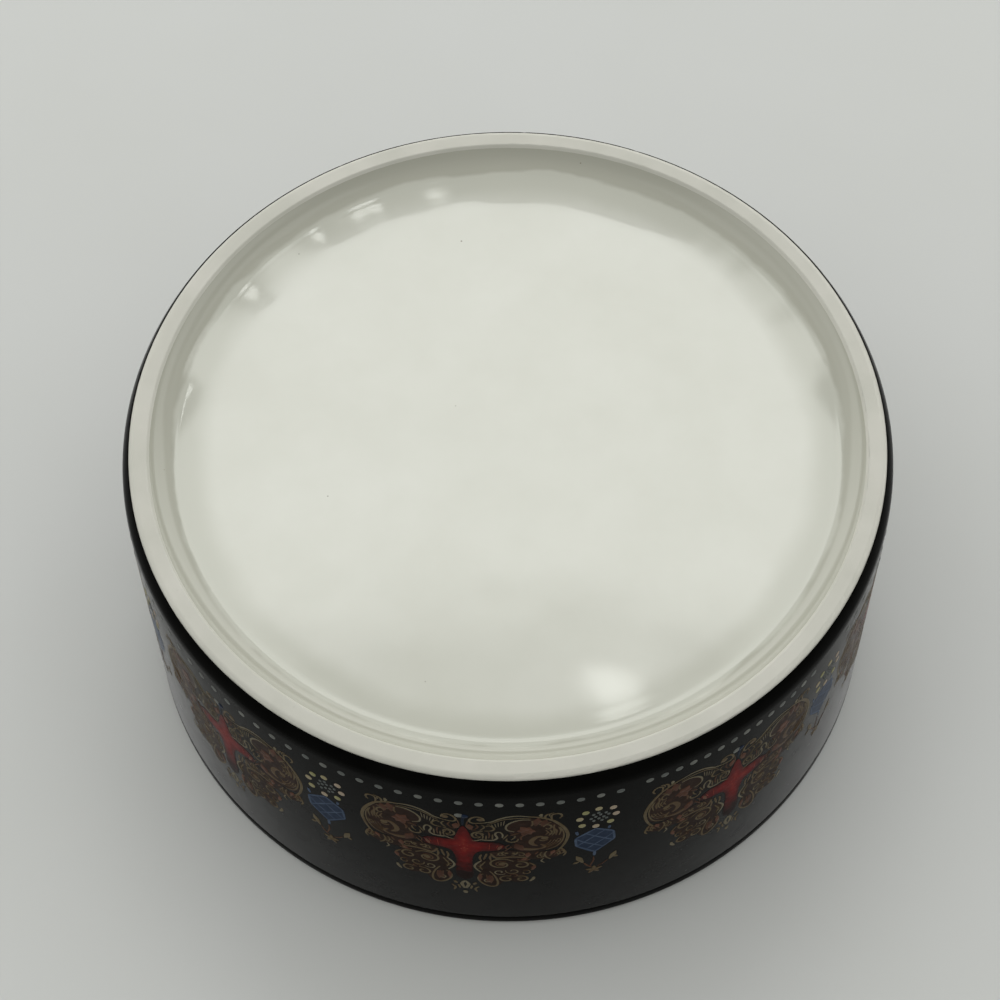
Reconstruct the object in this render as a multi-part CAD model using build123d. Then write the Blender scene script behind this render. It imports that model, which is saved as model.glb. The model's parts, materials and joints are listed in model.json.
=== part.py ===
from build123d import *
from math import asin, cos, degrees, pi, radians, sin
import os

# A round porcelain box with a black enamelled wall, standing upside down on its lid.
# Millimetres and degrees. The table is z = 0, the foot ring is on top, and the front looks along -Y.

# Overall form
outer_diameter = 100.0
overall_height = 44.6
wall_thickness = 3.7
floor_thickness = 4.0
inside_corner_radius = 4.0
rim_round = 0.5

# Fired layers
enamel_thickness = 0.3
glaze_thickness = 0.2
film_thickness = 0.1

# Shoulder, where the wall draws in under the foot ring
shoulder_height = 3.6
shoulder_drop = 0.85
enamel_setback = 0.4

# Foot ring, and the well that it stands round
ring_width = 3.5
ring_outer_round = 0.7
ring_inner_round = 0.25
cove_width = 5.7
well_dome = 0.25
apron_radius = 12.0
apron_turn = 12.0
cove_turn = 60.0
glaze_setback_turn = 6.0

# Lid
lid_edge_height = 2.6
lid_middle_rise = 1.1
lid_edge_round = 1.1
lid_enamel_setback = 0.5
collar_height = 3.4
collar_thickness = 2.8
collar_clearance = 0.5
collar_round = 0.7
lid_rim_width = 5.0
lid_panel_depth = 0.25

# The wall's ornament is nine printed sections, each with a row of dots, a cartouche and a medallion.
# One section was laid on a little high, with its dots drawn together. Drops are below the shoulder.
section_count = 9
first_section_turn = -97.0
tight_section_index = 1
tight_slip_turn = 1.5
tight_section_lift = 0.5

# Row of dots
dot_radius = 0.65
dot_row_drop = 1.7
dots_in_section = 14
first_dot_turn = -15.0
dot_gap_turn = 2.8
tight_dot_pitch_turn = 2.25

# Cartouche: scrolled lobes round an enamelled cross
cartouche_drop = 4.4
cartouche_gap = 8.7
cartouche_height = 22.8
cross_clearance = 0.12
cross_width = 11.4
cross_drop = 3.6
cross_foot_gap = 2.6

# Medallion: a ring of beads round an oval, over a shield and a spray of leaves
medallion_slip_turn = 0.9
medallion_drop = 5.5
bead_radius = 0.5
beads_in_ring = 8
bead_ring_width = 4.65
bead_ring_height = 5.25
oval_width = 2.2
oval_height = 3.0
shield_gap = 0.3
shield_width = 5.0
shield_height = 8.2
spray_gap = 1.8
leaf_length = 3.4
leaf_width = 1.1
leaf_reach = 1.9
leaf_turn = 15.0
bud_radius = 1.0
bud_drop = 3.2

# Ornament on the lid's sunk panel, which faces the table here
border_dot_count = 72
border_dot_radius = 0.6
border_dot_setback = 2.6
border_band_width = 1.0
border_band_setback = 4.6
rosette_hub_radius = 5.0
rosette_hub_gap = 0.8
rosette_petal_count = 8
rosette_petal_length = 15.0
rosette_petal_width = 7.6
star_gap = 0.5
star_point_length = 8.5
star_point_width = 3.4

# Shares of the cartouche's half width (across, wide) and of its height (down from its top, deep),
# for the middle and the half axes of each rounded lobe on one side
lobe_shares = [
    (0.54, 0.275, 0.475, 0.273),
    (0.45, 0.725, 0.37, 0.215),
    (0.24, 0.895, 0.145, 0.083),
    (0.895, 0.545, 0.125, 0.072),
]
bridge_shares = (0.20, 0.935, 0.05)
finial_shares = (1.045, 0.145, 0.083)

# Shares of the cross's half width and of its height down from the top, round one side
cross_shares = [(0.17, 0.0), (0.33, 0.27), (0.90, 0.30), (1.0, 0.38), (0.90, 0.46), (0.33, 0.49), (0.17, 1.0)]

# Shares of the shield's half width and of its height down from the top, round one side
shield_shares = [(0.0, 0.0), (1.0, 0.26), (0.98, 0.58), (0.0, 1.0)]

# Values that follow from those above
full_turn = 360.0
quarter_turn = 90.0
half_share = 0.5
outer_radius = outer_diameter / 2
porcelain_radius = outer_radius - enamel_thickness
mouth_radius = porcelain_radius - wall_thickness
rim_z = lid_edge_height
shoulder_z = overall_height - shoulder_height
enamel_top_z = overall_height - enamel_setback
shoulder_rise = enamel_top_z - shoulder_z
shoulder_radius = (shoulder_rise**2 + shoulder_drop**2) / (2 * shoulder_drop)
shoulder_centre_r = outer_radius - shoulder_radius
porcelain_shoulder_radius = shoulder_radius - enamel_thickness
ring_inner_radius = outer_radius - ring_width
lid_panel_radius = outer_radius - lid_rim_width
section_turn = full_turn / section_count
section_width = 2 * pi * outer_radius / section_count
dot_pitch_turn = (section_turn - dot_gap_turn) / (dots_in_section - 1)
cartouche_width = section_width - cartouche_gap
cartouche_top_z = shoulder_z - cartouche_drop
cross_height = cartouche_height - cross_drop - cross_foot_gap
medallion_turn = section_turn / 2 - medallion_slip_turn
bead_ring_z = shoulder_z - medallion_drop - bead_ring_height / 2
shield_top_z = bead_ring_z - bead_ring_height / 2 - bead_radius - shield_gap
spray_z = shield_top_z - shield_height - spray_gap

# The well's outline: a domed floor, a gentle apron, then the steep cove up to the foot ring
well_flat_radius = ring_inner_radius - cove_width
apron_end_r = well_flat_radius + apron_radius * sin(radians(apron_turn))
cove_radius = (ring_inner_radius - apron_end_r) / (sin(radians(cove_turn)) - sin(radians(apron_turn)))
apron_rise = apron_radius * (1 - cos(radians(apron_turn)))
cove_rise = cove_radius * (cos(radians(apron_turn)) - cos(radians(cove_turn)))
well_z = overall_height - apron_rise - cove_rise
ceiling_z = well_z - floor_thickness


def turned(face):
    """A solid of revolution about the box's axis from an outline drawn as radius across and height up."""
    return revolve(Plane.XZ * face, Axis.Z, full_turn)


def corner(face, radius, height):
    """The outline's corner nearest to a radius and a height."""
    return face.vertices().sort_by_distance((radius, height, 0))[0]


def ring(inner_radius, outer_radius, low_z, high_z):
    """A plain ring about the box's axis."""
    corners = [(inner_radius, low_z), (outer_radius, low_z), (outer_radius, high_z), (inner_radius, high_z)]
    return turned(make_face(Polyline(*corners, close=True)))


def well_path(lift, cove_end_turn):
    """The well's outline from the axis outward, lifted by some height, as joined curves."""
    centre_z = well_z + well_dome + lift
    middle_r = well_flat_radius / 2
    middle_z = centre_z - well_dome * (middle_r / well_flat_radius) ** 2
    dome = ThreePointArc((0, centre_z), (middle_r, middle_z), (well_flat_radius, well_z + lift))
    apron = JernArc(dome @ 1, (1, 0), apron_radius, apron_turn)
    cove = JernArc(apron @ 1, apron % 1, cove_radius, cove_end_turn - apron_turn)
    return [dome, apron, cove]


def well_glaze():
    """The pool of clear glaze in the well, which thins out up the cove."""
    glaze_edge_turn = cove_turn - glaze_setback_turn
    top = well_path(0, glaze_edge_turn)
    bottom = well_path(-glaze_thickness, glaze_edge_turn)
    edge = Line(top[-1] @ 1, bottom[-1] @ 1)
    axis_line = Line(bottom[0] @ 0, top[0] @ 0)
    return turned(make_face(top + [edge] + bottom + [axis_line]))


def box_shell(glaze):
    """The porcelain body: wall, floor, foot ring and well in one casting."""
    well = well_path(0, cove_turn)
    shoulder_end_turn = degrees(asin(shoulder_height / porcelain_shoulder_radius))
    shoulder = CenterArc((shoulder_centre_r, shoulder_z), porcelain_shoulder_radius, 0, shoulder_end_turn)
    flat = Line(well[-1] @ 1, shoulder @ 1)
    outside = Line((porcelain_radius, rim_z), shoulder @ 0)
    inside = Polyline(
        (0, well_z + well_dome),
        (0, ceiling_z),
        (mouth_radius, ceiling_z),
        (mouth_radius, rim_z),
        (porcelain_radius, rim_z),
    )
    face = make_face(well + [flat, shoulder, outside, inside])
    face = fillet(corner(face, (shoulder @ 1).X, overall_height), ring_outer_round)
    face = fillet(corner(face, ring_inner_radius, overall_height), ring_inner_round)
    face = fillet(corner(face, mouth_radius, ceiling_z), inside_corner_radius)
    face = fillet([corner(face, mouth_radius, rim_z), corner(face, porcelain_radius, rim_z)], rim_round)
    return turned(face) - glaze


def wall_coat():
    """The black enamel on the wall, from just above the mouth to the edge of the foot ring."""
    end_turn = degrees(asin(shoulder_rise / shoulder_radius))
    low_z = rim_z + rim_round
    outer_arc = CenterArc((shoulder_centre_r, shoulder_z), shoulder_radius, 0, end_turn)
    inner_arc = CenterArc((shoulder_centre_r, shoulder_z), porcelain_shoulder_radius, 0, end_turn)
    outer_line = Line((outer_radius, low_z), outer_arc @ 0)
    inner_line = Line((porcelain_radius, low_z), inner_arc @ 0)
    foot = Line((porcelain_radius, low_z), (outer_radius, low_z))
    top = Line(outer_arc @ 1, inner_arc @ 1)
    face = make_face([foot, outer_line, outer_arc, top, inner_arc, inner_line])
    face = fillet(corner(face, outer_radius, low_z), enamel_thickness / 2)
    return turned(face)


def lid_blank():
    """The lid's porcelain: a plate, thinner at its edge, with a collar that drops into the mouth."""
    middle_z = lid_edge_height + lid_middle_rise
    collar_outer_r = mouth_radius - collar_clearance
    collar_inner_r = collar_outer_r - collar_thickness
    collar_z = lid_edge_height + collar_height
    panel_r = lid_panel_radius + enamel_thickness
    panel_z = lid_panel_depth + enamel_thickness
    outline = Polyline(
        (0, middle_z),
        (0, panel_z),
        (panel_r, panel_z),
        (panel_r, enamel_thickness),
        (porcelain_radius, enamel_thickness),
        (porcelain_radius, lid_edge_height),
        (collar_outer_r, lid_edge_height),
        (collar_outer_r, collar_z),
        (collar_inner_r, collar_z),
        (collar_inner_r, middle_z),
        close=True,
    )
    face = make_face(outline)
    face = fillet(corner(face, porcelain_radius, enamel_thickness), lid_edge_round - enamel_thickness)
    face = fillet(corner(face, collar_inner_r, middle_z), collar_round)
    collar_tips = [corner(face, collar_outer_r, collar_z), corner(face, collar_inner_r, collar_z)]
    face = fillet(collar_tips, collar_round)
    return turned(face)


def lid_coat(blank):
    """The black enamel over the lid's face and edge, with a sunk panel for the ornament."""
    top_z = lid_edge_height - lid_enamel_setback
    outline = Polyline(
        (0, lid_panel_depth),
        (lid_panel_radius, lid_panel_depth),
        (lid_panel_radius, 0),
        (outer_radius, 0),
        (outer_radius, top_z),
        (0, top_z),
        close=True,
    )
    face = fillet(corner(make_face(outline), outer_radius, 0), lid_edge_round)
    return turned(face) - blank


film_shell = ring(outer_radius, outer_radius + film_thickness, rim_z, shoulder_z)


def film(outline):
    """A flat outline, drawn as seen from the front, laid on the wall as a thin film."""
    return extrude(Plane.XZ * outline, outer_diameter) & film_shell


def on_wall(solid, turn, lift=0):
    """A copy of a solid that was made at the front, turned round the box's axis."""
    return Pos(0, 0, lift) * Rot(0, 0, turn + quarter_turn) * solid


def raised_dot(radius, turn, height):
    """A flat round dot, tangent to the wall."""
    outline = Plane((0, -outer_radius, height), x_dir=(1, 0, 0), z_dir=(0, -1, 0)) * Circle(radius)
    return on_wall(extrude(outline, film_thickness), turn)


def mirrored_outline(points):
    """A closed outline from points round its right-hand side, first at the top."""
    right = [Vector(x, z) for x, z in points]
    left = [Vector(-x, z) for x, z in reversed(points) if x > 0]
    return make_face(Polyline(*(right + left), close=True))


def cross_outline():
    top_z = cartouche_top_z - cross_drop
    points = [(across * cross_width / 2, top_z - down * cross_height) for across, down in cross_shares]
    return mirrored_outline(points)


def cartouche_outline():
    """Two pairs of lobes with their side curls, joined under the cross by a bridge and a finial."""
    half_width = cartouche_width / 2
    across, down, half_deep = bridge_shares
    bridge = Rectangle(2 * across * half_width, 2 * half_deep * cartouche_height)
    outline = Pos(0, cartouche_top_z - down * cartouche_height) * bridge
    down, wide, deep = finial_shares
    finial = Ellipse(wide * half_width, deep * cartouche_height)
    outline += Pos(0, cartouche_top_z - down * cartouche_height) * finial
    for across, down, wide, deep in lobe_shares:
        lobe = Ellipse(wide * half_width, deep * cartouche_height)
        for side in (-1, 1):
            outline += Pos(side * across * half_width, cartouche_top_z - down * cartouche_height) * lobe
    return outline - offset(cross_outline(), cross_clearance)


def shield_outline():
    half_width = shield_width / 2
    points = [(across * half_width, shield_top_z - down * shield_height) for across, down in shield_shares]
    return mirrored_outline(points)


def medallion_solids(turn, lift):
    """The ring of beads, its oval, and the spray of two leaves and a bud under the shield."""
    solids = []
    for index in range(beads_in_ring):
        angle = radians(quarter_turn + full_turn * index / beads_in_ring)
        across = bead_ring_width / 2 * cos(angle)
        height = bead_ring_z + bead_ring_height / 2 * sin(angle)
        solids.append(raised_dot(bead_radius, turn + degrees(asin(across / outer_radius)), height + lift))
    flat_pieces = [Pos(0, bead_ring_z) * Ellipse(oval_width / 2, oval_height / 2)]
    for side in (-1, 1):
        leaf = Rot(0, 0, -side * leaf_turn) * Ellipse(leaf_width / 2, leaf_length / 2)
        flat_pieces.append(Pos(side * leaf_reach, spray_z) * leaf)
    flat_pieces.append(Pos(0, spray_z - bud_drop) * Circle(bud_radius))
    return solids + [on_wall(film(outline), turn, lift) for outline in flat_pieces]


def dot_solids(turn, pitch, lift):
    first = turn + first_dot_turn
    height = shoulder_z - dot_row_drop + lift
    return [raised_dot(dot_radius, first + index * pitch, height) for index in range(dots_in_section)]


def petal(length, width, start):
    """A pointed petal on the lid's panel, along +X from a starting radius."""
    middle = start + length / 2
    upper = ThreePointArc((start, 0), (middle, width / 2), (start + length, 0))
    lower = ThreePointArc((start + length, 0), (middle, -width / 2), (start, 0))
    return make_face([upper, lower])


def panel_film(outline):
    """A flat outline raised from the lid's panel towards the table."""
    return extrude(Pos(0, 0, lid_panel_depth - film_thickness) * outline, film_thickness)


def petals(length, width, start, phase_share):
    outline = petal(length, width, start)
    turns = [full_turn * (index + phase_share) / rosette_petal_count for index in range(rosette_petal_count)]
    return [panel_film(Rot(0, 0, turn) * outline) for turn in turns]


def lid_border():
    """A gold band with a ring of dots outside it."""
    band_r = lid_panel_radius - border_band_setback
    band = panel_film(Circle(band_r) - Circle(band_r - border_band_width))
    reach = lid_panel_radius - border_dot_setback
    dots = []
    for index in range(border_dot_count):
        angle = radians(full_turn * index / border_dot_count)
        dots.append(panel_film(Pos(reach * cos(angle), reach * sin(angle)) * Circle(border_dot_radius)))
    return [band] + dots


def write(name, solids):
    """Writes one sub-part, from one solid or from a group of separate solids."""
    if isinstance(solids, list):
        solids = Compound(children=[item.solid() for item in solids])
    export_step(solids, "parts/" + name + ".step")


def main():
    os.makedirs("parts", exist_ok=True)
    glaze = well_glaze()
    write("box_body", box_shell(glaze))
    write("base_glaze", glaze)
    write("wall_enamel", wall_coat())

    blank = lid_blank()
    write("lid_plate", blank)
    write("lid_enamel", lid_coat(blank))
    write("lid_border", lid_border())
    petal_start = rosette_hub_radius + rosette_hub_gap
    write("lid_rosette", petals(rosette_petal_length, rosette_petal_width, petal_start, 0))
    star_start = petal_start + rosette_petal_length / 2 + star_gap
    star = petals(star_point_length, star_point_width, star_start, half_share)
    write("lid_star", star + [panel_film(Circle(rosette_hub_radius))])

    cartouche = film(cartouche_outline())
    cross = film(cross_outline())
    shield = film(shield_outline())
    for index in range(section_count):
        tight = index == tight_section_index
        slip = tight_slip_turn if tight else 0
        lift = tight_section_lift if tight else 0
        pitch = tight_dot_pitch_turn if tight else dot_pitch_turn
        turn = first_section_turn + index * section_turn + slip
        number = str(index + 1)
        write("cartouche_" + number, on_wall(cartouche, turn, lift))
        write("cross_" + number, on_wall(cross, turn, lift))
        write("shield_" + number, on_wall(shield, turn + medallion_turn, lift))
        write("medallion_" + number, medallion_solids(turn + medallion_turn, lift))
        write("dot_row_" + number, dot_solids(turn, pitch, lift))


main()
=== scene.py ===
import bmesh
import bpy
import json
import math
import random
from mathutils import Matrix, Vector, noise


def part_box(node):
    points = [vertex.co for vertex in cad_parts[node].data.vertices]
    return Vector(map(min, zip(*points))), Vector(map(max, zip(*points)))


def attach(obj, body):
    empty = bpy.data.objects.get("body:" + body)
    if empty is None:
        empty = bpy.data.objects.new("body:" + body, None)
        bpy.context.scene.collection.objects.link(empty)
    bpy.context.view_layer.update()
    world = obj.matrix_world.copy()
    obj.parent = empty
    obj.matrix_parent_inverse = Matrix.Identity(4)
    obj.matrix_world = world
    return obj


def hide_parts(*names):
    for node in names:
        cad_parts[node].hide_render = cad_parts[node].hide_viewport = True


# The round porcelain box stands upside down on its lid. Metres, with drawing sizes in millimetres.
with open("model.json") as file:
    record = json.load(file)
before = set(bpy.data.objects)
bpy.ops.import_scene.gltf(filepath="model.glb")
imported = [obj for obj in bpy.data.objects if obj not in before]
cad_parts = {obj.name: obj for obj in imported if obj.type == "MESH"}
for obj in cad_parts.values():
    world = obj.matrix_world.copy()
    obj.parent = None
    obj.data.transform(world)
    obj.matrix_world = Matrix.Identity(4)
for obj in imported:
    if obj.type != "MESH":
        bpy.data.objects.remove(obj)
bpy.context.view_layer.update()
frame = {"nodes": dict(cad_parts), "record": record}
nodes = frame["nodes"]

mm = 0.001
section_count = 9
seed = 12

# Sizes read from the frame, in millimetres
wall_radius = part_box("wall_enamel")[1].x / mm
ring_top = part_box("box_body")[1].z / mm

# The well's outline in millimetres, as in the drawing: domed floor, apron and cove, and their rings
well_flat_radius = 40.8
well_dome = 0.25
apron_radius = 12.0
apron_turn = math.radians(12)
cove_radius = 4.870
cove_turn = math.radians(60)
glaze_edge_turn = math.radians(54)
floor_rings = 54
apron_rings = 6
cove_rings = 14

# The pool of glaze in the well, in millimetres: level out to its radius, with points all round
glaze_thickness = 0.2
pool_radius = 42.3
level_rings = 3
pool_steps = 400

# The shelf of glaze on the far side, in millimetres: it climbs from a torn line and dies away in the cove
shelf_radius = 38.2
shelf_inner_radius = 30
shelf_end = 42.6
shelf_fade = (43.3, 45.5)
shelf_side = (-2.0, 12.0)
shelf_slope = math.tan(math.radians(6.5))

# Waves in the glaze, each with its length and height in millimetres and its layer of the noise
slow_wave = (11, 0.014, 3.1)
fine_wave = (4.5, 0.006, 7.7)
slow_tear = (8, 1.0, 5.5)
fine_tear = (2.2, 0.07, 9.1)

# A faint ring pressed into the glaze, in millimetres
ring_middle = (-3.3, 1.6)
ring_radius = 9.0
ring_width = 2.2
ring_depth = 0.010

# The enamel on the wall, in millimetres and degrees: the shoulder's arc, and the thinning at the upper edge
coat = 0.3
coat_edge = 0.13
shoulder_centre = (43.548, 41.0)
shoulder_radius = 6.452
shoulder_turn = 29.6
shoulder_points = 16
thinning_points = 9
lower_rim_centre = (49.2, 3.1)
lid_rim_centre = (48.9, 1.1)
lid_rim_radius = 1.1

# The upper edge's wear, in millimetres: it wanders in two waves and has chips where a third noise is high
worn_points = 3
edge_path_radius = 30
edge_waves = ((6, 0.10), (1.4, 0.05))
chip_length = 0.55
chip_layer = Vector((9, 4, 2))
chip_threshold = 0.42
chip_gain = 1.1
edge_fall = (0.5, 0.85)

# Light levels, where the backdrop's own is a little over the base
base_light = 0.53
backdrop_level = 0.57
back_low_light = 1.8
back_middle_light = 0.35
side_low_light = 0.9
side_high_light = 0.6
left_middle_light = 0.35
panel_light = 2.9
lamp_light = 7.0

# Where the light is, in degrees: how high it rises from the table, and how far it turns from straight behind
low_rise = (4.0, 10.0, 24.0, 34.0)
middle_rise = (24.0, 34.0, 46.0, 54.0)
high_rise = (46.0, 54.0, 68.0, 76.0)
panel_rise = (50.6, 51.2, 61.5, 64.5)
lamp_rise = (64.2, 64.5, 65.3, 65.6)
back_turn = (40.0, 70.0)
side_turn = (40.0, 70.0, 110.0, 140.0)
left_turn = (-140.0, -110.0, -70.0, -40.0)
panel_turn = (18.0, 28.0)
lamp_turn = (4.2, 5.0, 7.6, 8.6)

# The table, in metres
table_reach = 6.0

# Camera, fitted to the foot ring and the wall's outline
camera_elevation = math.radians(59.8)
camera_roll = math.radians(-0.83)
camera_reach = 0.3818
camera_right = -0.00128
camera_up = 0.01361
camera_lens = 95.8
sensor_width = 36.0
camera_clip = (0.01, 50)

# How far the prints stand out of the wall, in millimetres
field_lift = 0.012
leaf_lift = 0.024
line_lift = 0.045
bead_lift = 0.09
sunk_lift = -0.05
lift_jitter = 0.006
line_edge_share = 0.2
leaf_crown = 0.03

# The scrolls were drawn from a line this far from the cartouche's middle, in millimetres
drawing_shift = 0.2

# How far each drawing's top lies over the print that it starts from, in millimetres
cartouche_rise = 4.35
medallion_rise = -3.125
dots_in_row = 14


def srgb(red, green, blue):
    """A colour written as 0 to 255, as the eye sees it, in the shader's linear units."""
    def channel(value):
        value /= 255
        return value / 12.92 if value <= 0.04045 else ((value + 0.055) / 1.055) ** 2.4
    return (channel(red), channel(green), channel(blue), 1)


class Nodes:
    """Short ways to build a procedural node tree."""

    def __init__(self, tree, place):
        self.tree = tree
        self.place = self.node("ShaderNodeTexCoord").outputs[place]

    def node(self, kind, **settings):
        made = self.tree.nodes.new(kind)
        for name, value in settings.items():
            setattr(made, name, value)
        return made

    def feed(self, socket, value):
        if isinstance(value, (int, float, tuple)):
            socket.default_value = value
        else:
            self.tree.links.new(value, socket)

    def noise(self, size, detail):
        """Noise from 0 to 1 whose blotches are about one size across, in metres."""
        mapping = self.node("ShaderNodeMapping")
        self.feed(mapping.inputs["Vector"], self.place)
        self.feed(mapping.inputs["Scale"], (1 / size, 1 / size, 1 / size))
        made = self.node("ShaderNodeTexNoise")
        self.feed(made.inputs["Scale"], 1.0)
        self.feed(made.inputs["Detail"], detail)
        self.feed(made.inputs["Roughness"], 0.55)
        self.feed(made.inputs["Vector"], mapping.outputs["Vector"])
        return made.outputs["Fac"]

    def cells(self, size):
        """Distance to the middle of the nearest of many scattered cells, in cell sizes."""
        made = self.node("ShaderNodeTexVoronoi")
        self.feed(made.inputs["Scale"], 1 / size)
        self.feed(made.inputs["Vector"], self.place)
        return made.outputs["Distance"]

    def attribute(self, name):
        return self.node("ShaderNodeAttribute", attribute_name=name).outputs["Fac"]

    def axes(self):
        """The three coordinates of the place."""
        made = self.node("ShaderNodeSeparateXYZ")
        self.feed(made.inputs[0], self.place)
        return made.outputs

    def remap(self, source, low, high, to_low=0.0, to_high=1.0, curve="LINEAR"):
        """The source's range from low to high as another range, and level beyond it."""
        made = self.node("ShaderNodeMapRange", interpolation_type=curve)
        names = ("Value", "From Min", "From Max", "To Min", "To Max")
        for name, value in zip(names, (source, low, high, to_low, to_high)):
            self.feed(made.inputs[name], value)
        return made.outputs["Result"]

    def math(self, operation, first, second=0.0):
        made = self.node("ShaderNodeMath", operation=operation)
        self.feed(made.inputs[0], first)
        self.feed(made.inputs[1], second)
        return made.outputs["Value"]

    def product(self, first, *others):
        for other in others:
            first = self.math("MULTIPLY", first, other)
        return first

    def hump(self, source, low, rise, fall, high):
        """1 between rise and fall, and 0 below low and above high, with soft shoulders."""
        up = self.remap(source, low, rise, curve="SMOOTHSTEP")
        down = self.remap(source, fall, high, 1.0, 0.0, curve="SMOOTHSTEP")
        return self.product(up, down)

    def ramp(self, source, *stops):
        """A colour ramp with stops of place and colour."""
        made = self.node("ShaderNodeValToRGB")
        elements = made.color_ramp.elements
        while len(elements) < len(stops):
            elements.new(0.5)
        for element, (place, colour) in zip(elements, stops):
            element.position = place
            element.color = colour
        self.feed(made.inputs["Fac"], source)
        return made.outputs["Color"]

    def mix(self, factor, first, second):
        """A colour between two colours."""
        made = self.node("ShaderNodeMix", data_type="RGBA")
        for socket, value in zip((made.inputs[0], made.inputs[6], made.inputs[7]), (factor, first, second)):
            self.feed(socket, value)
        return made.outputs[2]


class Paint(Nodes):
    """A Principled material fed from procedural nodes."""

    def __init__(self, name, colour, roughness, ior=1.5):
        self.material = bpy.data.materials.new(name)
        self.material.use_nodes = True
        super().__init__(self.material.node_tree, "Object")
        self.shader = self.tree.nodes["Principled BSDF"]
        self.set("Base Color", colour)
        self.set("Roughness", roughness)
        self.set("IOR", ior)

    def set(self, socket, value):
        self.feed(self.shader.inputs[socket], value)

    def bump(self, source, height):
        """Fine unevenness as high as a number of metres."""
        made = self.node("ShaderNodeBump")
        self.feed(made.inputs["Strength"], 1.0)
        self.feed(made.inputs["Distance"], height)
        self.feed(made.inputs["Height"], source)
        self.set("Normal", made.outputs["Normal"])


def porcelain_paint():
    """Bare porcelain: matt, a little uneven, with a few rubbed marks."""
    paint = Paint("matt_porcelain", srgb(196, 195, 184), 0.6)
    tint = paint.ramp(paint.noise(9 * mm, 4), (0.3, srgb(190, 190, 178)), (0.7, srgb(201, 200, 189)))
    rub = paint.remap(paint.cells(3.5 * mm), 0.03, 0.07, 1.0, 0.0)
    kept = paint.remap(paint.noise(7 * mm, 2), 0.56, 0.62)
    paint.set("Base Color", paint.mix(paint.product(rub, kept, 0.7), tint, srgb(146, 142, 136)))
    paint.bump(paint.noise(0.6 * mm, 4), 0.01 * mm)
    return paint.material


def glaze_paint():
    """Glaze over porcelain with a few specks, its colour painted warmer and darker over the apron and more
    on the cove, as painted shade.
    """
    paint = Paint("clear_glaze_on_porcelain", srgb(205, 206, 195), 0.06)
    tint = paint.ramp(paint.noise(14 * mm, 4), (0.3, srgb(202, 203, 191)), (0.7, srgb(208, 209, 198)))
    x, y, _ = paint.axes()
    # Painted shade: the glaze's colour darkens and warms with distance from the axis, over the apron and
    # more on the cove, along an edge made uneven by noise
    reach = paint.math("SQRT", paint.math("ADD", paint.product(x, x), paint.product(y, y)))
    reach = paint.math("ADD", reach, paint.remap(paint.noise(10 * mm, 3), 0.3, 0.7, -0.5 * mm, 0.5 * mm))
    apron_shade_start, apron_shade_end = 37.5 * mm, 41.5 * mm
    cove_shade_start, cove_shade_end = 43.2 * mm, 43.9 * mm
    apron = paint.remap(reach, apron_shade_start, apron_shade_end, curve="SMOOTHSTEP")
    cove = paint.remap(reach, cove_shade_start, cove_shade_end, curve="SMOOTHSTEP")
    # The painted shade mixed in: a warmer grey over the apron, darker still on the cove
    tint = paint.mix(apron, tint, srgb(190, 191, 178))
    tint = paint.mix(cove, tint, srgb(171, 171, 157))
    speck = paint.remap(paint.cells(5 * mm), 0.018, 0.03, 1.0, 0.0)
    kept = paint.remap(paint.noise(4 * mm, 1), 0.55, 0.6)
    tint = paint.mix(paint.product(speck, kept, 0.8), tint, srgb(120, 116, 98))
    paint.set("Base Color", tint)
    return paint.material


def black_paint():
    """Black enamel whose lightness is all in its shine."""
    paint = Paint("black_enamel", (0.0018, 0.0018, 0.0015, 1), 0.24, ior=1.055)
    paint.set("Sheen Weight", 0.35)
    paint.set("Sheen Roughness", 0.2)
    dark, light = (0.0012, 0.0012, 0.001, 1), (0.0028, 0.0028, 0.0024, 1)
    tint = paint.ramp(paint.noise(6 * mm, 4), (0.3, dark), (0.7, light))
    paint.set("Base Color", tint)
    paint.set("Roughness", paint.remap(paint.noise(3 * mm, 4), 0.3, 0.7, 0.18, 0.28))
    paint.bump(paint.noise(2.5 * mm, 3), 0.012 * mm)
    return paint.material


def print_paint(name, dark, middle, light):
    """A fired print whose tone runs from dark to light, blotched and a little worn."""
    paint = Paint(name, (*middle, 1), 0.4, ior=1.08)
    paint.set("Sheen Weight", 0.25)
    paint.set("Sheen Roughness", 0.2)
    tone = paint.attribute("tone")
    blotches = paint.remap(paint.noise(1.2 * mm, 3), 0.25, 0.75, -0.14, 0.14)
    tone = paint.math("ADD", tone, blotches)
    paint.set("Base Color", paint.ramp(tone, (0.0, (*dark, 1)), (0.5, (*middle, 1)), (1.0, (*light, 1))))
    paint.set("Roughness", paint.remap(paint.noise(0.8 * mm, 3), 0.3, 0.7, 0.3, 0.45))
    paint.bump(paint.noise(0.25 * mm, 3), 0.01 * mm)
    return paint.material


# The prints' colours in linear light: dark, middle and light
print_colours = {
    "gold_print": ((0.06, 0.026, 0.014), (0.085, 0.064, 0.034), (0.14, 0.125, 0.085)),
    "brown_print": ((0.002, 0.0012, 0.0006), (0.017, 0.0065, 0.003), (0.11, 0.05, 0.032)),
    "red_print": ((0.008, 0.0015, 0.001), (0.12, 0.004, 0.004), (0.27, 0.05, 0.028)),
    "blue_print": ((0.004, 0.007, 0.014), (0.012, 0.022, 0.045), (0.06, 0.085, 0.13)),
    "silver_print": ((0.07, 0.08, 0.078), (0.11, 0.115, 0.105), (0.24, 0.24, 0.21)),
    "cream_print": ((0.2, 0.2, 0.09), (0.25, 0.22, 0.13), (0.3, 0.24, 0.19)),
}
paints = {"porcelain": porcelain_paint(), "clear_glaze": glaze_paint(), "black_enamel": black_paint()}
for print_slot, colours in print_colours.items():
    paints[print_slot] = print_paint(print_slot, *colours)


def dress_frame():
    """Gives every construction piece the paint of its material slot."""
    for entry in frame["record"]["subparts"]:
        piece = nodes[entry["node"]]
        piece.data.materials.clear()
        piece.data.materials.append(paints[entry["material_slot"]])


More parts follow.
